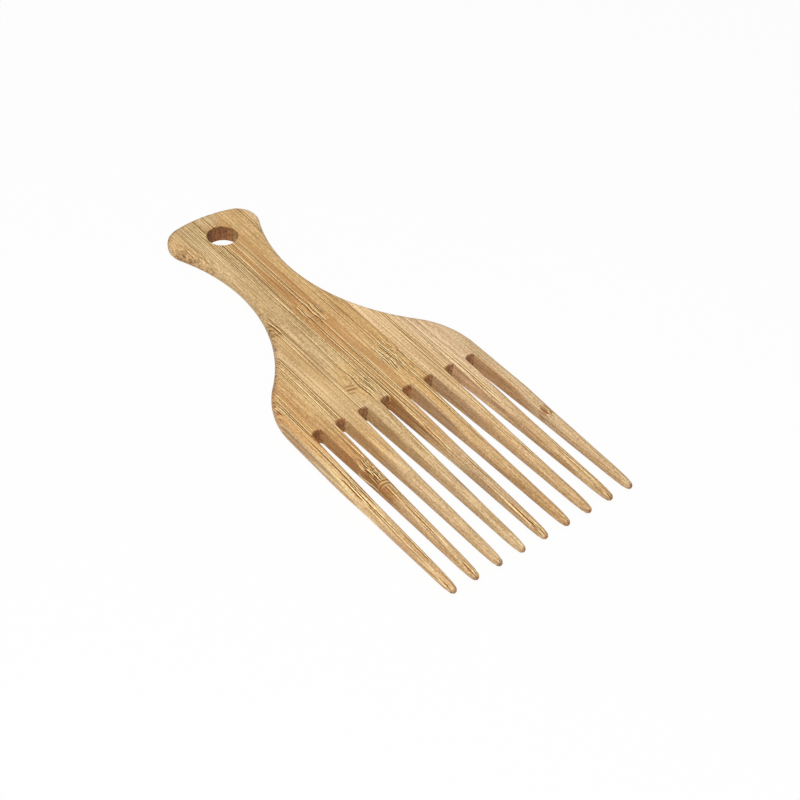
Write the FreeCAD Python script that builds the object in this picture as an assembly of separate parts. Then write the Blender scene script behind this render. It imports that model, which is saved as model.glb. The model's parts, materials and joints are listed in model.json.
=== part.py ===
"""Afro pick milled from a board of bamboo strips glued edge to edge.

+X runs across the tines, +Y from the tips to the butt of the handle, +Z up from the resting face.
The origin is under the middle of the pick. Each strip is a piece of its own and carries one tine.
"""
import FreeCAD
import Part

import math
import os

from FreeCAD import Vector

# Board, millimetres
board_thickness = 6.0
outline_round = 2.4
slot_edge_bevel = 0.3

# Tines, and the slots sawn between them
tine_pitch = 8.4
tine_length = 69.0
slot_width = 3.8
slot_corner_radius = 1.2
edge_tine_lean = 0.5

# Outline of the blade and handle
shoulder_rise = 4.9
shoulder_radius = 29.0
waist_radius = 66.0
ear_radius = 8.0
butt_end_radius = 46.5

# Hang hole
hole_inset = 14.4
hole_edge_bevel = 0.2

# Each glue line stands this far to the right of the middle of its slot
glue_line_shift = 0.9
# The hole clears the centre strip, the waist runs inside the two handle strips and the ears
# stand outside them, each by this much from the nearest glue line
hole_past_glue = 0.2
waist_inside_glue = 1.45
ear_past_glue = 3.8

# How far every cutting tool runs past the board
overrun = 5.0

# Flats that make up a quarter turn of a rounded edge
round_steps = 4

# One strip for each tine, from -X to +X
strip_names = (
    "left_edge_strip",
    "left_shoulder_strip",
    "left_blade_strip",
    "left_handle_strip",
    "centre_strip",
    "right_handle_strip",
    "right_blade_strip",
    "right_shoulder_strip",
    "right_edge_strip",
)
# What the waist or the hang hole parts from the butt end of a strip
butt_names = {
    "left_blade_strip": "left_butt_ear",
    "centre_strip": "centre_butt_block",
    "right_blade_strip": "right_butt_ear",
}

# A tine from its root to its tip. Places are shares of its length, widths of its root width,
# thicknesses of the board, and corners go from the slot's bevel towards the smaller half there.
station_shares = (0.0, 0.04, 0.25, 0.46, 0.68, 0.9, 0.96, 0.99, 1.0)
width_shares = (1.0, 0.985, 0.908, 0.835, 0.76, 0.655, 0.575, 0.445, 0.25)
thickness_shares = (1.0, 1.0, 0.985, 0.84, 0.7, 0.565, 0.485, 0.375, 0.21)
corner_shares = (0.0, 0.1, 0.6, 0.88, 0.92, 0.92, 0.92, 0.92, 0.92)
# The most that a rounding takes of the thickness it is on
largest_round_share = 0.45

# Sizes that follow
tine_count = len(strip_names)
root_width = tine_pitch - slot_width
blade_width = tine_count * tine_pitch - slot_width
edge_radius = min(outline_round, largest_round_share * board_thickness)
hole_radius = tine_pitch / 2 + glue_line_shift + hole_past_glue
handle_strips_width = 3 * tine_pitch
waist_width = handle_strips_width - 2 * (glue_line_shift + waist_inside_glue)
butt_width = handle_strips_width + 2 * (glue_line_shift + ear_past_glue)

# The outline is a chain of tangent arcs, worked out upwards from the roots of the slots
shoulder_x = blade_width / 2 - shoulder_radius
waist_x = waist_width / 2 + waist_radius
ear_x = butt_width / 2 - ear_radius
shoulder_to_waist = math.sqrt((waist_radius + shoulder_radius) ** 2 - (waist_x - shoulder_x) ** 2)
waist_to_ear = math.sqrt((waist_radius + ear_radius) ** 2 - (waist_x - ear_x) ** 2)
end_to_ear = math.sqrt((butt_end_radius - ear_radius) ** 2 - ear_x ** 2)
handle_length = shoulder_rise + shoulder_to_waist + waist_to_ear - end_to_ear + butt_end_radius
overall_length = tine_length + handle_length

# Directions from +X at which one arc of the outline hands over to the next
shoulder_turn = math.atan2(shoulder_to_waist, waist_x - shoulder_x)
flare_turn = math.atan2(-waist_to_ear, waist_x - ear_x)
corner_turn = math.atan2(end_to_ear, ear_x)

tip_y = -overall_length / 2
root_y = tip_y + tine_length
join_y = root_y - slot_corner_radius
shoulder_y = root_y + shoulder_rise
waist_y = shoulder_y + shoulder_to_waist
ear_y = waist_y + waist_to_ear
end_y = ear_y - end_to_ear
butt_y = end_y + butt_end_radius
hole_y = butt_y - hole_inset


def tine_x(index):
    """Middle of a tine at its root, counted from 0 at -X."""
    return (index - (tine_count - 1) / 2) * tine_pitch


def slot_x(index):
    """Middle of the slot on the -X side of a tine."""
    return tine_x(index) - tine_pitch / 2


def glue_x(index):
    """Glue line on the -X side of a strip. The first and last stand clear of the board."""
    if index == 0:
        return -blade_width / 2 - overrun
    if index == tine_count:
        return blade_width / 2 + overrun
    return slot_x(index) + glue_line_shift


def polar(x, y, z, radius, turn):
    """Point of a level circle, at a turn from +X."""
    return Vector(x + radius * math.cos(turn), y + radius * math.sin(turn), z)


def arc(first, middle, last):
    """Arc through three points."""
    return Part.Arc(first, middle, last).toShape()


def corner_points(size, bulge):
    """Points across a corner, each by how far it stands in from the one face and from the other.

    A bulge of one makes the corner round, and of nought a flat bevel.
    """
    points = []
    for step in range(round_steps + 1):
        share = step / round_steps
        turn = math.radians(90) * share
        round_point = (size * (1 - math.cos(turn)), size * (1 - math.sin(turn)))
        flat_point = (size * share, size * (1 - share))
        points.append(tuple(flat + bulge * (curve - flat) for flat, curve in zip(flat_point, round_point)))
    return points


def rounded_levels(radius):
    """Heights up through the board, and how far a rounded edge is drawn back at each."""
    low = corner_points(radius, 1)
    high = [(board_thickness - height, inset) for height, inset in reversed(low)]
    return low + high


def bevelled_levels(bevel):
    """Heights up through a cutter, and how far a bevelled edge widens the cut at each."""
    low = [(-overrun, bevel), (0, bevel), (bevel, 0)]
    high = [(board_thickness - height, growth) for height, growth in reversed(low)]
    return low + high


def outline_wire(inset, height):
    """Outline of the pick drawn in by an inset, with the sides run on past the tips."""

    def mirrored(point):
        return Vector(-point.x, point.y, point.z)

    def shoulder_at(turn):
        return polar(shoulder_x, shoulder_y, height, shoulder_radius - inset, turn)

    def ear_at(turn):
        return polar(ear_x, ear_y, height, ear_radius - inset, turn)

    low = Vector(blade_width / 2 - inset, tip_y - overrun, height)
    waist = Vector(waist_width / 2 - inset, waist_y, height)
    butt = Vector(0, butt_y - inset, height)
    side = [
        (shoulder_at(0), shoulder_at(shoulder_turn / 2), shoulder_at(shoulder_turn)),
        (shoulder_at(shoulder_turn), waist, ear_at(flare_turn)),
        (ear_at(flare_turn), ear_at(0), ear_at(corner_turn)),
    ]
    edges = [Part.makeLine(mirrored(low), low), Part.makeLine(low, shoulder_at(0))]
    edges += [arc(first, middle, last) for first, middle, last in side]
    edges.append(arc(ear_at(corner_turn), butt, mirrored(ear_at(corner_turn))))
    for first, middle, last in reversed(side):
        edges.append(arc(mirrored(last), mirrored(middle), mirrored(first)))
    edges.append(Part.makeLine(mirrored(shoulder_at(0)), mirrored(low)))
    return Part.Wire(edges)


def slot_wire(index, growth, height):
    """Saw cut on the -X side of a tine, widened by a growth: a flat root with two round corners."""
    radius = slot_corner_radius + growth
    left = slot_x(index) - slot_width / 2 - growth
    right = slot_x(index) + slot_width / 2 + growth
    low_y = tip_y - overrun
    left_low = Vector(left, low_y, height)
    right_low = Vector(right, low_y, height)

    def left_at(degrees):
        return polar(left + radius, join_y, height, radius, math.radians(degrees))

    def right_at(degrees):
        return polar(right - radius, join_y, height, radius, math.radians(degrees))

    return Part.Wire([
        Part.makeLine(left_low, left_at(180)),
        arc(left_at(180), left_at(135), left_at(90)),
        Part.makeLine(left_at(90), right_at(90)),
        arc(right_at(90), right_at(45), right_at(0)),
        Part.makeLine(right_at(0), right_low),
        Part.makeLine(right_low, left_low),
    ])


def slot_cutter(index):
    """Saw cut through the board, flared where its edges are bevelled."""
    levels = bevelled_levels(slot_edge_bevel)
    return Part.makeLoft([slot_wire(index, growth, height) for height, growth in levels], True, True)


def hole_cutter():
    """Hang hole, turned about its own axis, flared where its edges are bevelled."""
    levels = bevelled_levels(hole_edge_bevel)
    profile = [Vector(hole_radius + growth, 0, height) for height, growth in levels]
    axis = [Vector(0, 0, profile[-1].z), Vector(0, 0, profile[0].z)]
    face = Part.Face(Part.makePolygon(profile + axis + profile[:1]))
    cutter = face.revolve(Vector(0, 0, 0), Vector(0, 0, 1), 360)
    cutter.translate(Vector(0, hole_y, 0))
    return cutter


def side_of_join(above):
    """All the space above or below the line where the tines join the blade."""
    low_y = join_y if above else tip_y - 2 * overrun
    high_y = butt_y + overrun if above else join_y
    return Part.makeBox(
        blade_width + 2 * overrun,
        high_y - low_y,
        board_thickness + 2 * overrun,
        Vector(-blade_width / 2 - overrun, low_y, -overrun),
    )


def strip_slab(index):
    """The space between two glue lines."""
    low_x = glue_x(index)
    return Part.makeBox(
        glue_x(index + 1) - low_x,
        overall_length + 2 * overrun,
        board_thickness + 2 * overrun,
        Vector(low_x, tip_y - overrun, -overrun),
    )


def tine_section(x, y, half_width, half_thickness, corner):
    """Cross-section of a tine: a rectangle with the given points across its corners."""
    low = board_thickness / 2 - half_thickness
    high = board_thickness / 2 + half_thickness
    right = [(half_width - inset, low + rise) for rise, inset in corner]
    right += [(half_width - inset, high - rise) for rise, inset in reversed(corner)]
    left = [(-across, height) for across, height in reversed(right)]
    points = [Vector(x + across, y, height) for across, height in right + left]
    return Part.makePolygon(points + points[:1])


def tine(index):
    """One tine, lofted from the bevelled saw cut at its root to a blunt round tip."""
    length = tine_length - slot_corner_radius
    lean = 0
    if index == 0:
        lean = edge_tine_lean
    if index == tine_count - 1:
        lean = -edge_tine_lean
    sections = []
    for place, width, thickness, corner in zip(
        station_shares, width_shares, thickness_shares, corner_shares
    ):
        half_width = width * root_width / 2
        half_thickness = thickness * board_thickness / 2
        smaller = min(half_width, half_thickness)
        bevel = min(slot_edge_bevel, largest_round_share * smaller)
        bulge = 1 if place > 0 else 0
        sections.append(tine_section(
            tine_x(index) + lean * place,
            join_y - place * length,
            half_width,
            half_thickness,
            corner_points(bevel + (smaller - bevel) * corner, bulge),
        ))
    return Part.makeLoft(sections, True, True)


def save(shape, name):
    """Write one piece, and say what it is."""
    shape.exportStep("parts/" + name + ".step")
    print(name, "valid", shape.isValid(), "solids", len(shape.Solids), "volume", round(shape.Volume, 1))


os.makedirs("parts", exist_ok=True)
outlines = [outline_wire(inset, height) for height, inset in rounded_levels(edge_radius)]
blank = Part.makeLoft(outlines, True, True)
board = blank.common(side_of_join(above=True)).cut(hole_cutter())
for index in range(1, tine_count):
    board = board.cut(slot_cutter(index))
tine_blank = blank.common(side_of_join(above=False))
for index, name in enumerate(strip_names):
    pieces = sorted(board.common(strip_slab(index)).Solids, key=lambda solid: solid.CenterOfMass.y)
    body = tine(index)
    if index in (0, tine_count - 1):
        body = body.common(tine_blank)
    strip = pieces[0].fuse(body).removeSplitter()
    save(strip.Solids[0], name)
    for piece in pieces[1:]:
        save(piece.removeSplitter(), butt_names.get(name, name + "_butt"))
print("overall length", round(overall_length, 2), "blade width", round(blade_width, 2))
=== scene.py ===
# %% [markdown]
# # A bamboo afro pick
# The pick was milled from a board of bamboo strips glued edge to edge, then sanded and lightly oiled.
# The CAD model gives every strip its true shape, so this file only has to dress the strips:
# it gives each one a smooth surface and a bamboo finish of its own, then light and a camera.

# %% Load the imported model
import json
import math
from functools import partial

import bmesh
import bpy
from mathutils import Matrix, Vector


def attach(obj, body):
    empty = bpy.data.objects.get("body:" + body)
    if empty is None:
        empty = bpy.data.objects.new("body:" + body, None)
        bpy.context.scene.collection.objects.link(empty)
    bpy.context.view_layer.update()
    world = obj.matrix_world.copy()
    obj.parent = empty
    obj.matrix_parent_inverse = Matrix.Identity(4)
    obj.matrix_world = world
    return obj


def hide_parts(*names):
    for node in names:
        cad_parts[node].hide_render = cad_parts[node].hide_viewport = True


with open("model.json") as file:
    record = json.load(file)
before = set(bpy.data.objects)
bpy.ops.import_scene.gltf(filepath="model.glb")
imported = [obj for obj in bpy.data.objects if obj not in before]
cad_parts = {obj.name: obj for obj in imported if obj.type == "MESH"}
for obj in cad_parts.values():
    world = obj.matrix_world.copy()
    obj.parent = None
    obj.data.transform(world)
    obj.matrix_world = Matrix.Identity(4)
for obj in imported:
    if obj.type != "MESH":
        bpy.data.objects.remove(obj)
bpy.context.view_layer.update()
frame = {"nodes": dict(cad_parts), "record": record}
# Blender works in metres. Sizes below are in millimetres, as on the real pick, unless they say metres
mm = 0.001
print("pieces:", sorted(frame["nodes"]))

# %% [markdown]
# ## Strips and glue lines
# The board was glued up from nine strips. The tines stand at one pitch, and so do the glue lines, each
# a little to the right of the middle of a slot. The edges of a strip could be read from its mesh, but
# if they are worked out from the pitch, one value places all nine.

# %% Strips and glue lines
tine_pitch = 8.4
glue_line_shift = 0.9
strip_names = (
    "left_edge_strip",
    "left_shoulder_strip",
    "left_blade_strip",
    "left_handle_strip",
    "centre_strip",
    "right_handle_strip",
    "right_blade_strip",
    "right_shoulder_strip",
    "right_edge_strip",
)


def left_glue_line(strip):
    """Where a strip begins at its left in the uncut board, in millimetres."""
    return (strip_names.index(strip) - len(strip_names) / 2) * tine_pitch + glue_line_shift


print("strips begin at, in mm:", {strip: round(left_glue_line(strip), 1) for strip in strip_names})

# %% [markdown]
# ## Rounded tine ends
# The CAD mesh of a strip is loose triangles, which can be neither bevelled nor shaded smooth. The
# strip could be modelled again by hand, but its shape is already right, so a copy is welded and kept.
# Sandpaper rounded the rim of each tine's blunt end a little, and a small bevel does the same here.

# %% Weld a copy and round its tine
weld_distance = 0.001 * mm
tip_round = 0.2 * mm
tip_round_segments = 3


def rounded_copy(node_name):
    """A welded copy of one CAD strip, with the blunt end of its tine rounded over."""
    shape = bmesh.new()
    shape.from_mesh(frame["nodes"][node_name].data)
    bmesh.ops.remove_doubles(shape, verts=shape.verts, dist=weld_distance)
    # The ears and the block at the butt carry no tine
    if node_name not in strip_names:
        return shape
    # The blunt end is what lies at the lowest y, give or take a tenth of the round
    end_limit = min(vertex.co.y for vertex in shape.verts) + tip_round / 10
    end = [face for face in shape.faces if all(vertex.co.y < end_limit for vertex in face.verts)]
    end = bmesh.ops.dissolve_faces(shape, faces=end)["region"]
    bmesh.ops.bevel(
        shape, geom=list(end[0].edges), offset=tip_round, affect="EDGES",
        segments=tip_round_segments, profile=0.5, material=-1, clamp_overlap=True,
    )
    return shape


print("tine ends are rounded by", round(tip_round / mm, 2), "mm")

# %% [markdown]
# ## Smooth faces and crisp edges
# Sanding left the faces and the rounded edges smooth, while the edges of the glue faces are crisp.
# Flat shading would show every facet, and smooth shading alone would smear the crisp edges. So each
# edge that is sharper than a set angle is marked, and a modifier evens out the shading between them.

# %% Shade each strip and set it in the frame
sharp_angle = math.radians(32)


def sanded_piece(node_name):
    """One strip as a smooth object with crisp edges, which stands for its CAD node."""
    shape = rounded_copy(node_name)
    for face in shape.faces:
        face.smooth = True
    for edge in shape.edges:
        edge.smooth = edge.is_manifold and edge.calc_face_angle() < sharp_angle
    mesh = bpy.data.meshes.new(node_name + "_bamboo")
    shape.to_mesh(mesh)
    shape.free()
    piece = bpy.data.objects.new(node_name + "_bamboo", mesh)
    bpy.context.scene.collection.objects.link(piece)
    # Large faces decide the shading, so flats stay flat beside their rounded edges
    even = piece.modifiers.new("even shading", "WEIGHTED_NORMAL")
    even.keep_sharp = True
    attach(piece, "root")
    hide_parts(node_name)
    return piece


pieces = {name: sanded_piece(name) for name in sorted(frame["nodes"])}
for name, piece in pieces.items():
    print(name, len(piece.data.polygons), "faces")

# %% [markdown]
# ## Helpers for finishes
# Colours are picked as sRGB, the way that a screen shows them, but a shader reckons in linear light.
# Linear values typed by hand would hide what the colour is, so one function turns a hex value to them.
# Another adds a node and wires it, so that each line of a finish says one thing. In a Mix node for
# colours, input 0 is the factor, and inputs 6 and 7 are the two colours.

# %% Colour and node helpers
def linear(hex_colour):
    """An sRGB hex colour as the linear values that a shader takes, by the curve of the sRGB standard."""
    parts = [int(hex_colour[place:place + 2], 16) / 255 for place in (1, 3, 5)]
    lit = [part / 12.92 if part <= 0.04045 else ((part + 0.055) / 1.055) ** 2.4 for part in parts]
    return lit + [1.0]


def add_node(tree, kind, inputs, **settings):
    """Add one node with its settings, and set its inputs or link them to a node or a socket."""
    made = tree.nodes.new(kind)
    for name, value in settings.items():
        setattr(made, name, value)
    for socket, value in inputs.items():
        if isinstance(value, bpy.types.Node):
            value = next(output for output in value.outputs if output.enabled)
        if isinstance(value, bpy.types.NodeSocket):
            tree.links.new(value, made.inputs[socket])
        else:
            made.inputs[socket].default_value = value
    return made


print("tan bamboo in linear light:", [round(value, 3) for value in linear("#CDA876")])

# %% [markdown]
# ## Fibre bundles
# Bamboo is a grass: bundles of tough fibre run along the stalk through paler ground tissue. Each one
# is a brown core beside a pale sheath, so a face cut along the stalk shows pairs of thin dark and pale
# lines, and a sawn end shows dots. A picture wrapped round the strip would need a seam and would smear
# on the ends. Here a Voronoi texture fills the cross-section with cells, one for each bundle, and the
# faces cut through them as they do on the real strip: lines along it, and dots on its ends.

# %% Bundles in the cross-section
# How far apart bundles stand across the strip and through the board, in millimetres
bundle_spacing = (0.6, 0.8)
# Nought would be a neat grid of bundles, and one a full scatter
bundle_scatter = 0.8
# How far a bundle rises through the board for each millimetre along it
bundle_rise = 0.013
# Height counts for less than width, so a bundle is about twice as tall as it is wide
bundle_squeeze = (1, 0.65, 1)
# Core and sheath stand this far from the middle of their bundle, as a share of the spacing
pair_shift = 0.25
# Where each one fades out and where it is full, as shares of the spacing from its own middle
core_edge = (0.41, 0.22)
sheath_edge = (0.36, 0.2)


def bundles(add, place):
    """Masks of cores and sheaths, the way from the middle of each bundle, and a lot drawn for it."""
    x, y, z = add("ShaderNodeSeparateXYZ", {0: place}).outputs
    # Bundles rise slowly through the board, so that a line comes and goes along the face
    height = add("ShaderNodeMath", {0: y, 1: bundle_rise, 2: z}, operation="MULTIPLY_ADD")
    section = add("ShaderNodeCombineXYZ", {0: x, 1: height})
    section = add("ShaderNodeVectorMath", {0: section, 1: (*bundle_spacing, 1)}, operation="DIVIDE")
    cells = add("ShaderNodeTexVoronoi", {
        "Vector": section, "Scale": 1, "Randomness": bundle_scatter,
    }, voronoi_dimensions="2D")
    lot = add("ShaderNodeSeparateColor", {0: cells.outputs["Color"]}).outputs[0]
    away = add("ShaderNodeVectorMath", {0: section, 1: cells.outputs["Position"]}, operation="SUBTRACT")
    away = add("ShaderNodeVectorMath", {0: away, 1: bundle_squeeze}, operation="MULTIPLY")
    masks = []
    for centre, (outer, inner) in ((-pair_shift, core_edge), (pair_shift, sheath_edge)):
        reach = add("ShaderNodeVectorMath", {0: away, 1: (centre, 0, 0)}, operation="DISTANCE")
        masks.append(add("ShaderNodeMapRange", {
            "Value": reach.outputs["Value"], "From Min": outer, "From Max": inner,
        }, interpolation_type="SMOOTHSTEP"))
    core, sheath = masks
    return core, sheath, away, lot


print("bundles across a strip:", round(tine_pitch / bundle_spacing[0]))

# %% [markdown]
# ## Marks
# Where the stalk had a joint, the lines swerve and break up, the tissue is stained, and a bud leaves
# short bars across the grain. They could be painted on a texture by hand. Here each mark is a place
# and a reach in millimetres, and the distance from it switches a pattern on, so no picture is needed.

# %% A soft mask for a mark
# A mark is full up to this share of its reach, and fades out from there
full_share = 0.4


def inside_of(add, in_mm, mark_x, mark_y, reach_x, reach_y):
    """A soft mask of a mark, whatever the height in the board: one inside it and nought outside."""
    away = add("ShaderNodeMapping", {
        0: in_mm,
        "Location": (-mark_x / reach_x, -mark_y / reach_y, 0),
        "Scale": (1 / reach_x, 1 / reach_y, 0),
    })
    away = add("ShaderNodeVectorMath", {0: away}, operation="LENGTH")
    return add("ShaderNodeMapRange", {
        "Value": away.outputs["Value"], "From Min": 1, "From Max": full_share,
    }, interpolation_type="SMOOTHSTEP")


print("a mark that reaches 5 mm is full up to", 5 * full_share, "mm from its middle")

# %% [markdown]
# ## Knots
# A knot is where the stalk had a joint. The strips were split from different parts of stalks, so most
# of them have their knots at heights of their own. Noise could scatter the knots, but then they would
# lie anywhere. A table of places puts each one where the real pick has it.

# %% Knots
# Knots of each strip: place and reach in millimetres
knots = {
    "left_shoulder_strip": ((-25.2, -44, 5, 9),),
    "left_blade_strip": ((-13.4, 24.5, 2.4, 6), (-17, 71, 5, 11)),
    "left_handle_strip": ((-6.5, -12, 5.5, 8),),
    "centre_strip": ((1.5, 25, 6, 8),),
    "right_handle_strip": ((9.8, -7.5, 6, 12),),
    "right_shoulder_strip": ((27.4, -53, 1.6, 3.5),),
    "right_edge_strip": ((33, -53, 2.2, 5),),
}
print("knots:", {strip: len(of_strip) for strip, of_strip in knots.items()})

# %% [markdown]
# ## Swaying lines
# Bundles sway a little along the stalk, and at a knot they swerve and climb. Each line could be drawn
# as a curve. Instead smooth noise pushes the place that all the patterns read, so the lines of a
# strip bend together, as they do in the stalk.

# %% Swaying lines
# How long a sway is across and along the strip, and how far it goes sideways, in millimetres
sway_size = (9, 50)
sway_reach = 0.8
# The same for a swerve at a knot, which goes sideways and up or down through the board
swerve_size = (14, 8)
swerve_reach = (1.8, 0, 3.2)
# The patterns of each strip are moved on by this much from the one before, so that no two are alike
pattern_step = 7.3


def wandering_place(add, in_mm, strip, knot_masks):
    """Places in millimetres that sway a little across the strip, and more at a knot."""
    shift = pattern_step * strip_names.index(strip)
    slow = add("ShaderNodeMapping", {
        0: in_mm, "Location": (shift, shift, 0), "Scale": (1 / sway_size[0], 1 / sway_size[1], 0),
    })
    sway = add("ShaderNodeTexNoise", {"Vector": slow, "Scale": 1, "Detail": 1})
    sway = add("ShaderNodeMath", {0: sway, 1: sway_reach}, operation="MULTIPLY")
    offset = add("ShaderNodeCombineXYZ", {0: sway, 1: shift, 2: shift})
    place = add("ShaderNodeVectorMath", {0: in_mm, 1: offset}, operation="ADD")
    quick = add("ShaderNodeMapping", {
        0: in_mm, "Location": (shift, shift, 0), "Scale": (1 / swerve_size[0], 1 / swerve_size[1], 0),
    })
    swerve = add("ShaderNodeTexNoise", {"Vector": quick, "Scale": 1, "Detail": 0}).outputs["Color"]
    # Noise lies about a half, and less a half it goes both ways
    swerve = add("ShaderNodeVectorMath", {0: swerve, 1: (0.5, 0.5, 0.5)}, operation="SUBTRACT")
    # A bundle that climbs faster through the board shows as a shorter line
    swerve = add("ShaderNodeVectorMath", {0: swerve, 1: swerve_reach}, operation="MULTIPLY")
    for mask in knot_masks:
        at_knot = add("ShaderNodeVectorMath", {0: swerve, "Scale": mask}, operation="SCALE")
        place = add("ShaderNodeVectorMath", {0: place, 1: at_knot}, operation="ADD")
    return place


print("at a knot a line swerves by up to", swerve_reach[0] / 2, "mm to each side")

# %% [markdown]
# ## Stains and painted sheen
# Bamboo darkens round its knots and where it is sawn, and it stays paler where it was sanded most.
# A few narrow marks on the tine walls that face the camera are painted sheen: a paler, greyer tone.
# Such places could be painted by hand. Each one is a mark with a tone and a strength instead, so it
# can be moved or weakened by changing a number.

# %% Stains and painted sheen
# Stains and painted sheen of each strip: place and reach in millimetres, tone, and strength
stains_and_sheen = {
    # The narrow second mark here is painted sheen on the outer wall of the tine
    "left_edge_strip": ((-34, -45, 8, 24, "#EBCB98", 0.6), (-36, -24, 1.6, 22, "#C2AB8F", 0.6)),
    "left_shoulder_strip": ((-25.2, -41, 8, 22, "#B57E44", 0.6), (-26, -49, 5, 9, "#9C6428", 0.45)),
    "left_blade_strip": (
        (-17, -33, 6, 12, "#D0A468", 0.4),
        (-13.6, 24, 2.6, 6, "#B98A50", 0.6),
        (-16.5, 71.5, 4, 9, "#BE935C", 0.5),
    ),
    "left_handle_strip": ((-7, -10, 7, 14, "#DFB674", 0.5),),
    "centre_strip": (
        (1, -33, 7, 14, "#E0B888", 0.5),
        (0.5, -68, 8, 32, "#CFB391", 0.5),
        (1, 12, 8, 18, "#C8925A", 0.4),
        (1, 42, 7, 16, "#B98550", 0.5),
        (0, 88, 7, 8, "#E8C99C", 0.9),
    ),
    # The narrow second mark here is painted sheen on the near wall of the tine
    "right_handle_strip": ((9, -76, 6, 28, "#C09868", 0.65), (5.8, -34, 1.6, 18, "#BEA082", 0.6)),
    "right_blade_strip": (
        (17, -45, 9, 42, "#CFA878", 0.6),
        (17.5, -84, 6, 16, "#BE9868", 0.5),
        # This narrow mark is painted sheen on the near wall of the tine
        (14.2, -34, 1.6, 18, "#C0A381", 0.6),
    ),
    "right_shoulder_strip": ((27, -66, 9, 36, "#C9A270", 0.6), (27.3, -87, 6, 13, "#BA9260", 0.45)),
    "right_edge_strip": (
        (33.5, -76, 6, 22, "#CBA474", 0.4),
        (33, -53, 1.9, 3.4, "#9C5A26", 0.7),
        # This narrow mark is painted sheen on the near wall of the tine
        (31, -34, 1.6, 18, "#C99D71", 0.6),
    ),
}
print("stains:", {strip: len(of_strip) for strip, of_strip in stains_and_sheen.items()})

# %% [markdown]
# ## Ground tissue
# The soft tissue between the bundles is tan, and it drifts between two tones along a strip. One flat
# colour would look like plastic, so slow noise mixes the two tones, and the stains and painted sheen
# go over them.

# %% Ground tissue
# The tone drifts over about this many millimetres across the strip, along it and through the board
drift_size = (5, 45, 5)
# The middle of the noise, which is spread over both tones
drift_low, drift_high = 0.35, 0.65
# The tines go this much paler from the first y to the second, towards their ends
tip_pale_from, tip_pale_to = -32, -58
tip_pale_share = 0.45
tip_pale_tone = "#D9BD99"


def ground_tissue(add, strip, in_mm, place, y, tone, deeper_tone):
    """The colour between the bundles: two tones that drift, tines that go paler towards their ends, and
    the stains and painted sheen.
    """
    drift = add("ShaderNodeMapping", {0: place, "Scale": [1 / size for size in drift_size]})
    drift = add("ShaderNodeTexNoise", {"Vector": drift, "Scale": 1, "Detail": 1})
    drift = add("ShaderNodeMapRange", {"Value": drift, "From Min": drift_low, "From Max": drift_high})
    colour = add("ShaderNodeMix", {0: drift, 6: linear(tone), 7: linear(deeper_tone)}, data_type="RGBA")
    # Paler and greyer towards the ends of the tines
    tip_pale = add("ShaderNodeMapRange", {
        "Value": y, "From Min": tip_pale_from, "From Max": tip_pale_to, "To Max": tip_pale_share,
    })
    colour = add("ShaderNodeMix", {0: tip_pale, 6: colour, 7: linear(tip_pale_tone)}, data_type="RGBA")
    # Stains, and painted sheen on the tine walls that face the camera
    for *spot, stain_and_sheen_tone, strength in stains_and_sheen.get(strip, ()):
        stain_and_sheen = inside_of(add, in_mm, *spot)
        stain_and_sheen = add("ShaderNodeMath", {0: stain_and_sheen, 1: strength}, operation="MULTIPLY")
        colour = add("ShaderNodeMix", {0: stain_and_sheen, 6: colour, 7: linear(stain_and_sheen_tone)}, data_type="RGBA")
    return colour


print("the tines go pale over", tip_pale_from - tip_pale_to, "mm of their length")

# %% [markdown]
# ## Crowded side
# Bundles crowd near the skin of the stalk and thin out towards the hollow, so each strip has a crowded
# side. They could be set one by one. Here a share says how many of them show at each place: it climbs
# across the strip, and slow noise draws bundles together in gatherings.

# %% Crowded side
# How wide, long and deep a gathering of bundles is, in millimetres
gather_size = (2.6, 40, 2.6)
# The part of the noise that is used, and what the share is multiplied by at either end of it
gather_low, gather_high = 0.35, 0.6
sparse, gathered = 0.85, 1.45


def crowded_share(add, strip, x, place, dense_right, crowding):
    """The share of bundles that shows: more at the crowded side of the strip and in gatherings."""
    left = left_glue_line(strip)
    share_left, share_right = (0, 1) if dense_right else (1, 0)
    crowd = add("ShaderNodeMapRange", {
        "Value": x,
        "From Min": left, "From Max": left + tine_pitch,
        "To Min": share_left, "To Max": share_right,
    })
    crowd = add("ShaderNodeMath", {0: crowd, 1: crowding}, operation="POWER")
    gather = add("ShaderNodeMapping", {0: place, "Scale": [1 / size for size in gather_size]})
    gather = add("ShaderNodeTexNoise", {"Vector": gather, "Scale": 1, "Detail": 0})
    gather = add("ShaderNodeMapRange", {
        "Value": gather,
        "From Min": gather_low, "From Max": gather_high,
        "To Min": sparse, "To Max": gathered,
    })
    return add("ShaderNodeMath", {0: crowd, 1: gather}, operation="MULTIPLY")


print("gatherings across a strip: about", round(tine_pitch / gather_size[0]))

# %% [markdown]
# ## Bundles that show
# Each bundle has drawn a lot from nought to one, and it shows where the share is above its lot. A
# bundle could simply be there or not, but it fades in as the share climbs, as a real one does where
# it comes to the surface. At a knot more bundles come up, and they are thicker.

# %% Bundles that show
# The least share at a knot, and how much more strongly its bundles show
knot_share = 0.85
knot_strength = 2.3
# A bundle shows in full where the share is this far above its lot
full_above = 0.6


def shown_bundles(add, share, lot, knot_masks, contrast):
    """How strongly each bundle shows, with more of them at a knot."""
    for mask in knot_masks:
        least = add("ShaderNodeMath", {0: mask, 1: knot_share}, operation="MULTIPLY")
        share = add("ShaderNodeMath", {0: share, 1: least}, operation="MAXIMUM")
    shown = add("ShaderNodeMath", {0: share, 1: lot}, operation="SUBTRACT")
    shown = add("ShaderNodeMapRange", {"Value": shown, "From Max": full_above, "To Max": contrast})
    for mask in knot_masks:
        thicker = add("ShaderNodeMapRange", {"Value": mask, "To Min": 1, "To Max": knot_strength})
        shown = add("ShaderNodeMath", {0: shown, 1: thicker}, operation="MULTIPLY")
    return shown


print("bundles that show across a knot: about", round(knot_share * tine_pitch / bundle_spacing[0]))

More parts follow.
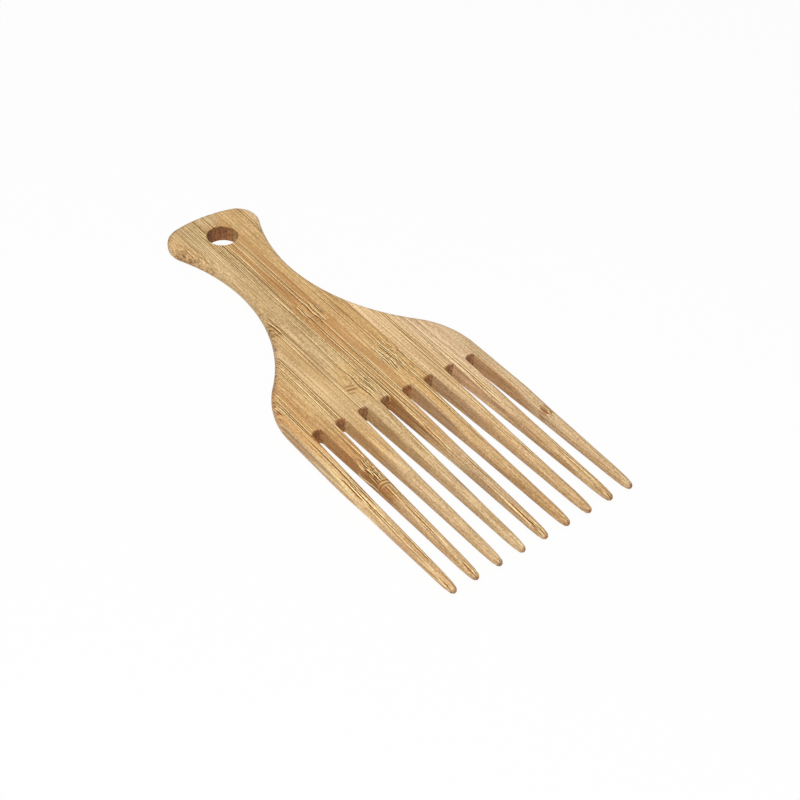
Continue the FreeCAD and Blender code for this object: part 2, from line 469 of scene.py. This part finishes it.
# %% [markdown]
# ## Brown and pale lines
# Where a face cuts along a bundle, its core shows as a brown line and its sheath as a cream one. They
# could be a bump that only light brings out, but on real bamboo they differ in colour, so the two
# masks mix the two colours over the ground tissue.

# %% Brown and pale lines
sheath_tone = "#FFE9B2"
# Browns with no blue, because the gloss over them adds a little grey
core_tone = "#8A5000"
knot_core_tone = "#703E00"
# A side wall cuts bundles into wide, faint slices. How far a face looks up or down, from nought to
# one, where its lines are faintest and where they are full, and how strong the faintest are
steep, level = 0.55, 0.88
faintest = 0.35


def bundle_lines(add, colour, core, sheath, shown, normal_z, knot_masks):
    """The colour with pale sheaths and brown cores over it, and how strong both are."""
    flat = add("ShaderNodeMath", {0: normal_z}, operation="ABSOLUTE")
    flat = add("ShaderNodeMapRange", {
        "Value": flat, "From Min": steep, "From Max": level, "To Min": faintest,
    })
    pale = add("ShaderNodeMath", {0: sheath, 1: shown}, operation="MULTIPLY")
    pale = add("ShaderNodeMath", {0: pale, 1: flat}, operation="MULTIPLY")
    colour = add("ShaderNodeMix", {0: pale, 6: colour, 7: linear(sheath_tone)}, data_type="RGBA")
    brown = linear(core_tone)
    for mask in knot_masks:
        brown = add("ShaderNodeMix", {0: mask, 6: brown, 7: linear(knot_core_tone)}, data_type="RGBA")
    dark = add("ShaderNodeMath", {0: core, 1: shown}, operation="MULTIPLY")
    dark = add("ShaderNodeMath", {0: dark, 1: flat}, operation="MULTIPLY")
    colour = add("ShaderNodeMix", {0: dark, 6: colour, 7: brown}, data_type="RGBA")
    return colour, pale, dark


print("a core is drawn up to", round(2 * core_edge[0] * bundle_spacing[0], 2), "mm wide")

# %% [markdown]
# ## Single fibres and pores
# Between the lines, sanded bamboo is full of single fibres and of short pores. They could be modelled
# as more bundles, but they are too many and too small to be seen one by one. Two noises that are
# stretched along the strip, one long and one short, give the same fine grain.

# %% Fibres and pores
# Width and length in millimetres. Real ones are hundredths of a millimetre wide, and these are drawn
# as coarse as they need to be to show
fibre_size = (0.32, 16)
pore_size = (0.2, 0.8)
# The two noises lie about a half each, and so their sum lies about one
fine_mean = 1
# The sum where the tint is at its darkest and at its palest
fine_low, fine_high = 0.7, 1.3
# What the colour is multiplied by. Hollows hold more oil, so they are warmer as well as darker, and
# ridges are sanded dry and paler
hollow_tint = (0.7, 0.62, 0.52, 1)
ridge_tint = (1.3, 1.34, 1.34, 1)


def fibres_and_pores(add, colour, place, knot_masks):
    """The colour with fine grain over it, and the grain itself: low in hollows, high on ridges."""
    grains = []
    for width, length in (fibre_size, pore_size):
        stretched = add("ShaderNodeMapping", {0: place, "Scale": (1 / width, 1 / length, 1 / width)})
        grains.append(add("ShaderNodeTexNoise", {"Vector": stretched, "Scale": 1, "Detail": 0}))
    fine = add("ShaderNodeMath", {0: grains[0], 1: grains[1]}, operation="ADD")
    # Fibres break up at a knot, so short dashes stand out there
    off_mean = add("ShaderNodeMath", {0: fine, 1: fine_mean}, operation="SUBTRACT")
    for mask in knot_masks:
        fine = add("ShaderNodeMath", {0: off_mean, 1: mask, 2: fine}, operation="MULTIPLY_ADD")
    light = add("ShaderNodeMapRange", {"Value": fine, "From Min": fine_low, "From Max": fine_high})
    tint = add("ShaderNodeMix", {0: light, 6: hollow_tint, 7: ridge_tint}, data_type="RGBA")
    colour = add("ShaderNodeVectorMath", {0: colour, 1: tint}, operation="MULTIPLY")
    return colour, fine


print("fibres drawn across a strip: about", round(tine_pitch / fibre_size[0]))

# %% [markdown]
# ## Bars of a bud
# At two of the knots a bud grew out of the stalk, and its cut root shows as short brown bars across
# the grain. They could be thin pieces let into the strip, but they are flush with it. A sine wave
# along the strip, kept inside a mark, draws them.

# %% Bars of a bud
# Bars of each strip: place, reach, and how far apart they are, in millimetres
cross_bars = {
    "left_shoulder_strip": ((-25, -48.6, 3.4, 2.1, 1.3),),
    "left_handle_strip": ((-10.5, -12.1, 3.2, 2.6, 1.7),),
}
# How far a bar slants along the strip for each millimetre across it
bar_slant = 0.25
# The height of the wave where a bar begins and where it is full
bar_begin, bar_full = -0.6, 0.6
between_tone = "#E0BB80"
bar_tone = "#9A6630"
bar_strength = 0.85


def bud_bars(add, strip, colour, in_mm, x, y):
    """The colour with brown bars across the grain where a bud grew."""
    for *spot, spacing in cross_bars.get(strip, ()):
        bars = add("ShaderNodeMath", {0: x, 1: bar_slant, 2: y}, operation="MULTIPLY_ADD")
        bars = add("ShaderNodeMath", {0: bars, 1: 2 * math.pi / spacing}, operation="MULTIPLY")
        bars = add("ShaderNodeMath", {0: bars}, operation="SINE")
        bars = add("ShaderNodeMapRange", {"Value": bars, "From Min": bar_begin, "From Max": bar_full})
        bars = add("ShaderNodeMix", {
            0: bars, 6: linear(between_tone), 7: linear(bar_tone),
        }, data_type="RGBA")
        bud = inside_of(add, in_mm, *spot)
        bud = add("ShaderNodeMath", {0: bud, 1: bar_strength}, operation="MULTIPLY")
        colour = add("ShaderNodeMix", {0: bud, 6: colour, 7: bars}, data_type="RGBA")
    return colour


print("buds on:", list(cross_bars))

# %% [markdown]
# ## Sawn ends
# Where a tool cut across the fibres, as in the roots of the slots and round the butt, their open ends
# drink the oil and go a redder brown, with dark dots where bundles end. The ends could be given a
# material of their own, but on a rounded edge the change is gradual, so the direction that the face
# looks in blends it in.

# %% Sawn ends
end_tone = "#B0764C"
dot_tone = "#4E2A17"
# How far a face looks along the strip, from nought to one, where the red begins and where it is full,
# and how strong it is
red_begin, red_full = 0.25, 0.7
red_strength = 0.75
# On a slant the dots show before the rest goes red
dots_begin, dots_full = 0.12, 0.4
dots_strength = 0.6
# A dot fades out and is full at these shares of the spacing, and this share of the bundles has one
dot_edge = (0.5, 0.3)
dotted_share = 0.6


def sawn_ends(add, colour, normal_y, away, lot):
    """The colour with redder, dotted end grain where a face cuts across the fibres."""
    across = add("ShaderNodeMath", {0: normal_y}, operation="ABSOLUTE")
    red = add("ShaderNodeMapRange", {
        "Value": across, "From Min": red_begin, "From Max": red_full, "To Max": red_strength,
    })
    dots = add("ShaderNodeVectorMath", {0: away}, operation="LENGTH").outputs["Value"]
    dots = add("ShaderNodeMapRange", {"Value": dots, "From Min": dot_edge[0], "From Max": dot_edge[1]})
    has_dot = add("ShaderNodeMath", {0: lot, 1: dotted_share}, operation="LESS_THAN")
    dots = add("ShaderNodeMath", {0: dots, 1: has_dot}, operation="MULTIPLY")
    ends = add("ShaderNodeMix", {0: dots, 6: linear(end_tone), 7: linear(dot_tone)}, data_type="RGBA")
    slant = add("ShaderNodeMapRange", {
        "Value": across, "From Min": dots_begin, "From Max": dots_full, "To Max": dots_strength,
    })
    dotted = add("ShaderNodeMath", {0: slant, 1: dots}, operation="MULTIPLY")
    end_grain = add("ShaderNodeMath", {0: red, 1: dotted}, operation="MAXIMUM")
    return add("ShaderNodeMix", {0: end_grain, 6: colour, 7: ends}, data_type="RGBA")


turned = round(math.degrees(math.asin(red_full)))
print("end grain is full where a face turns", turned, "degrees to the end of the strip")

# %% [markdown]
# ## Hang hole
# The wall of the hang hole is browner than the rest: partly burnt by the drill, and partly painted
# shade and warm bounce light of the deep hole. The wall could be picked out face by face, but it runs
# over four pieces. The distance from the axis of the hole finds it on all of them. The record that
# came with the CAD model says where the hole is and how wide.

# %% Browned hole
hole = next(mount for mount in frame["record"]["mounts"] if mount["name"] == "hang_hole")
hole_y = hole["pos_m"][1] / mm
hole_radius = hole["dims"]["r_mm"]
# How far past the wall the brown is full and where it ends, in millimetres
brown_full, brown_end = 0.1, 0.25
brown_strength = 0.3
# A burnt brown with painted shade of the hole mixed in
burnt_and_shaded_tone = "#743C18"


def burnt_and_shaded_hole(add, colour, in_mm):
    """The colour with a browner wall in the hang hole: burn, and painted shade of the hole."""
    from_hole = add("ShaderNodeMapping", {0: in_mm, "Location": (0, -hole_y, 0), "Scale": (1, 1, 0)})
    from_hole = add("ShaderNodeVectorMath", {0: from_hole}, operation="LENGTH").outputs["Value"]
    browned = add("ShaderNodeMapRange", {
        "Value": from_hole,
        "From Min": hole_radius + brown_end, "From Max": hole_radius + brown_full,
        "To Max": brown_strength,
    })
    return add("ShaderNodeMix", {0: browned, 6: colour, 7: linear(burnt_and_shaded_tone)}, data_type="RGBA")


print("browned up to", round(hole_radius + brown_end, 2), "mm from the axis of the hole")

# %% [markdown]
# ## Glue lines
# The glue shows as a thin brown line along each edge of a strip. It could be a piece of its own, but
# it is a film about as thick as a hair, so each strip is only tinted along its edges. A real line is
# about a tenth of a millimetre wide, and this one is drawn wider so that it shows.

# %% Glue lines
# How far from the edge of the strip the line begins and where it is full, in millimetres
glue_begin, glue_full = 0.22, 0.05
glue_strength = 0.35
glue_tone = "#8A5F36"


def glue_lines(add, strip, colour, x):
    """The colour with a thin brown line along both edges of the strip."""
    half_width = tine_pitch / 2
    middle = left_glue_line(strip) + half_width
    from_middle = add("ShaderNodeMath", {0: x, 1: middle}, operation="SUBTRACT")
    from_middle = add("ShaderNodeMath", {0: from_middle}, operation="ABSOLUTE")
    glue = add("ShaderNodeMapRange", {
        "Value": from_middle,
        "From Min": half_width - glue_begin, "From Max": half_width - glue_full,
        "To Max": glue_strength,
    })
    return add("ShaderNodeMix", {0: glue, 6: colour, 7: linear(glue_tone)}, data_type="RGBA")


print("a glue line is drawn up to", 2 * glue_begin, "mm wide")

# %% [markdown]
# ## Layers of a strip
# The colour is built up as the strip itself was: ground tissue with its stains and some painted
# sheen, then bundles, fibres and pores, and then what the tools and the glue did to them, with some
# painted shade in the hang hole. One texture could be painted for each strip, but layers of nodes
# hold at any distance and on every face.

# %% Layers of a strip
def bamboo_layers(add, strip, tone, deeper_tone, dense_right, crowding, contrast):
    """The colour of a strip, the relief of its lines, and its fine grain."""
    coordinates = add("ShaderNodeTexCoord", {})
    in_metres = coordinates.outputs["Object"]
    in_mm = add("ShaderNodeVectorMath", {0: in_metres, "Scale": 1 / mm}, operation="SCALE")
    x, y = add("ShaderNodeSeparateXYZ", {0: in_mm}).outputs[:2]
    normal_y, normal_z = add("ShaderNodeSeparateXYZ", {0: coordinates.outputs["Normal"]}).outputs[1:]
    knot_masks = [inside_of(add, in_mm, *knot) for knot in knots.get(strip, ())]
    place = wandering_place(add, in_mm, strip, knot_masks)
    colour = ground_tissue(add, strip, in_mm, place, y, tone, deeper_tone)
    core, sheath, away, lot = bundles(add, place)
    share = crowded_share(add, strip, x, place, dense_right, crowding)
    shown = shown_bundles(add, share, lot, knot_masks, contrast)
    colour, pale, dark = bundle_lines(add, colour, core, sheath, shown, normal_z, knot_masks)
    colour, fine = fibres_and_pores(add, colour, place, knot_masks)
    colour = bud_bars(add, strip, colour, in_mm, x, y)
    colour = sawn_ends(add, colour, normal_y, away, lot)
    colour = burnt_and_shaded_hole(add, colour, in_mm)
    colour = glue_lines(add, strip, colour, x)
    # Sandpaper wears the soft dark cores hollow and leaves the hard pale sheaths proud
    relief = add("ShaderNodeMath", {0: pale, 1: dark}, operation="SUBTRACT")
    return colour, relief, fine


for strip in strip_names:
    print(strip, "has", sum(len(table.get(strip, ())) for table in (knots, stains_and_sheen, cross_bars)), "marks")

# %% [markdown]
# ## Sanded, oiled bamboo
# Sanding and a little oil leave bamboo satin. A clear coat over it would look varnished, and a high
# roughness would look dry and bare. Oil soaks in, so one layer with a roughness of about a half is
# right. The lines also get a relief of hundredths of a millimetre, which catches the light.

# %% Satin surface
relief_depth = 0.03 * mm
relief_strength = 0.2
# Hollows full of oil are a little glossier than dry ridges: the roughness of the deepest hollow and of
# the highest ridge, and how high the fine grain is there
rough_low, rough_high = 0.44, 0.58
grain_low, grain_high = 0.6, 1.4
# Mineral oil, a common finish for bamboo, has an IOR of about 1.47
oil_ior = 1.47
# Pores and raised fibres break up half of the gloss that smooth oil would have
gloss_level = 0.25


def sanded_oiled_bamboo(strip, *looks):
    """Sanded bamboo under a little oil, which gives wide, soft highlights and no mirror."""
    material = bpy.data.materials.new("sanded_oiled_bamboo_" + strip)
    material.use_nodes = True
    material.node_tree.nodes.clear()
    add = partial(add_node, material.node_tree)
    colour, relief, fine = bamboo_layers(add, strip, *looks)
    bump = add("ShaderNodeBump", {
        "Height": relief, "Strength": relief_strength, "Distance": relief_depth,
    })
    rough = add("ShaderNodeMapRange", {
        "Value": fine,
        "From Min": grain_low, "From Max": grain_high,
        "To Min": rough_low, "To Max": rough_high,
    })
    surface = add("ShaderNodeBsdfPrincipled", {
        "Base Color": colour, "Roughness": rough, "Normal": bump,
        "IOR": oil_ior, "Specular IOR Level": gloss_level,
    })
    add("ShaderNodeOutputMaterial", {"Surface": surface})
    return material


print("relief in mm:", round(relief_depth / mm, 3))

# %% [markdown]
# ## One finish for each strip
# Every strip was split from a different part of a stalk, so each has its own tone, its own crowded
# side and its own marks. One shared finish would hide where strip meets strip. The ears and the block
# at the butt wear the finish of the strip that they were part of before the board was cut.

# %% Dress the strips
# Tone, deeper tone, whether bundles crowd on the right, how steeply they thin out, and contrast
strip_looks = {
    "left_edge_strip": ("#D9AD77", "#CE9F67", False, 0.5, 1.35),
    "left_shoulder_strip": ("#DFBA87", "#D6AD77", True, 0.9, 1.6),
    "left_blade_strip": ("#E1BF8F", "#D6B17E", True, 3.0, 0.7),
    "left_handle_strip": ("#DBBB8D", "#D0AF7E", True, 0.8, 1.0),
    "centre_strip": ("#D9AD75", "#C79861", False, 0.6, 1.5),
    "right_handle_strip": ("#E1BB84", "#D6AC73", True, 1.0, 1.3),
    "right_blade_strip": ("#F4D3A5", "#EBC696", True, 0.8, 0.9),
    "right_shoulder_strip": ("#ECCCA6", "#E1BE95", False, 1.0, 0.9),
    "right_edge_strip": ("#E2C59E", "#D7B78D", True, 0.8, 1.1),
}
# What the waist or the hang hole parts from the butt end of a strip
butt_pieces = {
    "left_butt_ear": "left_blade_strip",
    "centre_butt_block": "centre_strip",
    "right_butt_ear": "right_blade_strip",
}
finishes = {strip: sanded_oiled_bamboo(strip, *looks) for strip, looks in strip_looks.items()}
for name, piece in pieces.items():
    strip = butt_pieces.get(name, name)
    piece.data.materials.append(finishes[strip])
    print(piece.name, "wears", finishes[strip].name)

# %% [markdown]
# ## Floor
# The pick lies on a plain white sweep of paper. A curved backdrop could rise behind it, but this
# camera looks down, so a flat floor that reaches far past the view is enough.

# %% Floor
# How far the floor reaches from the middle to each side, in metres
floor_reach = 20
# A hair below the pick, so that the two flat faces don't share one plane
floor_drop = 0.05 * mm
floor_shape = bmesh.new()
bmesh.ops.create_grid(
    floor_shape, x_segments=1, y_segments=1, size=floor_reach,
    matrix=Matrix.Translation((0, 0, -floor_drop)),
)
floor_mesh = bpy.data.meshes.new("floor")
floor_shape.to_mesh(floor_mesh)
floor_shape.free()
floor = bpy.data.objects.new("floor", floor_mesh)
bpy.context.scene.collection.objects.link(floor)
print("floor in metres:", floor.dimensions[:])

# %% [markdown]
# ## White paper
# Lit paper alone would come out grey, unless there were too much light on the pick. So the camera
# sees the floor mostly as plain white, and partly as lit paper, which keeps a soft shadow under the
# pick.

# %% White paper
plain_share = 0.94
# Matt paper: an even white with no highlight
paper = bpy.data.materials.new("white_paper_sweep")
paper.use_nodes = True
paper.node_tree.nodes.clear()
add = partial(add_node, paper.node_tree)
seen = add("ShaderNodeLightPath", {})
lit = add("ShaderNodeBsdfDiffuse", {"Color": linear("#F7F7F7")})
plain = add("ShaderNodeEmission", {"Color": linear("#FFFFFF"), "Strength": 1})
share = add("ShaderNodeMath", {0: seen.outputs["Is Camera Ray"], 1: plain_share}, operation="MULTIPLY")
mixed = add("ShaderNodeMixShader", {0: share, 1: lit, 2: plain})
add("ShaderNodeOutputMaterial", {"Surface": mixed})
floor.data.materials.append(paper)
print("floor wears", paper.name)

# %% [markdown]
# ## White studio
# A product photograph on white has white all round. A world at full strength would light the pick too
# much and flatten it. So the world is white where it is looked at, straight, in a reflection or
# through glass, and weaker where it only gives light.

# %% White studio
fill_strength = 0.38
world = bpy.data.worlds.new("white_studio")
bpy.context.scene.world = world
world.use_nodes = True
world.node_tree.nodes.clear()
add = partial(add_node, world.node_tree)
seen = add("ShaderNodeLightPath", {})
looked_at = seen.outputs["Is Camera Ray"]
for ray in ("Is Glossy Ray", "Is Transmission Ray"):
    looked_at = add("ShaderNodeMath", {0: looked_at, 1: seen.outputs[ray]}, operation="MAXIMUM")
strength = add("ShaderNodeMapRange", {"Value": looked_at, "To Min": fill_strength, "To Max": 1})
studio = add("ShaderNodeBackground", {"Color": linear("#FFFFFF"), "Strength": strength})
add("ShaderNodeOutputWorld", {"Surface": studio})
print("the world lights the pick at a strength of", fill_strength)

# %% [markdown]
# ## Softbox
# One large soft lamp gives the pick its shape. A small lamp would cast hard shadows between the tines.
# It stands high on the near side, out past the tips, so the sides that face the viewer are lit as well.

# %% Softbox
# Side and place are in metres
softbox_side = 0.6
softbox_watts = 5.3
softbox_place = Vector((-0.35, -0.3, 0.75))
lamp_data = bpy.data.lights.new("softbox", "AREA")
lamp_data.shape = "SQUARE"
lamp_data.size = softbox_side
lamp_data.energy = softbox_watts
lamp = bpy.data.objects.new("softbox", lamp_data)
bpy.context.scene.collection.objects.link(lamp)
# A lamp shines along its own -Z, so +Z points away from the pick at the origin
lamp_turn = softbox_place.to_track_quat("Z", "Y").to_matrix().to_4x4()
lamp.matrix_world = Matrix.Translation(softbox_place) @ lamp_turn
print("softbox stands", round(softbox_place.length, 2), "metres away")

# %% [markdown]
# ## Camera
# The camera could be moved by eye until the picture looks right. Its place, turn and lens were solved
# from the outline of the pick in the photograph instead: the slots repeat at one pitch, so the way that
# their spacing narrows across the picture tells how far off the camera was.

# %% Camera
camera_place = Vector((-205.192, -263.262, 298.329)) * mm
camera_right = Vector((0.786827, -0.615385, 0.046950))
camera_up = Vector((0.393057, 0.558302, 0.730620))
camera_back = Vector((-0.475825, -0.556417, 0.681168))
camera_data = bpy.data.cameras.new("camera")
camera_data.sensor_width = 36
camera_data.lens = 63.957
camera_data.clip_start = 0.01
camera = bpy.data.objects.new("camera", camera_data)
bpy.context.scene.collection.objects.link(camera)
camera_turn = Matrix((camera_right, camera_up, camera_back)).transposed().to_4x4()
camera.matrix_world = Matrix.Translation(camera_place) @ camera_turn
bpy.context.scene.camera = camera
bpy.context.scene.view_settings.view_transform = "Standard"
print("camera in mm:", [round(value / mm, 1) for value in camera.location])
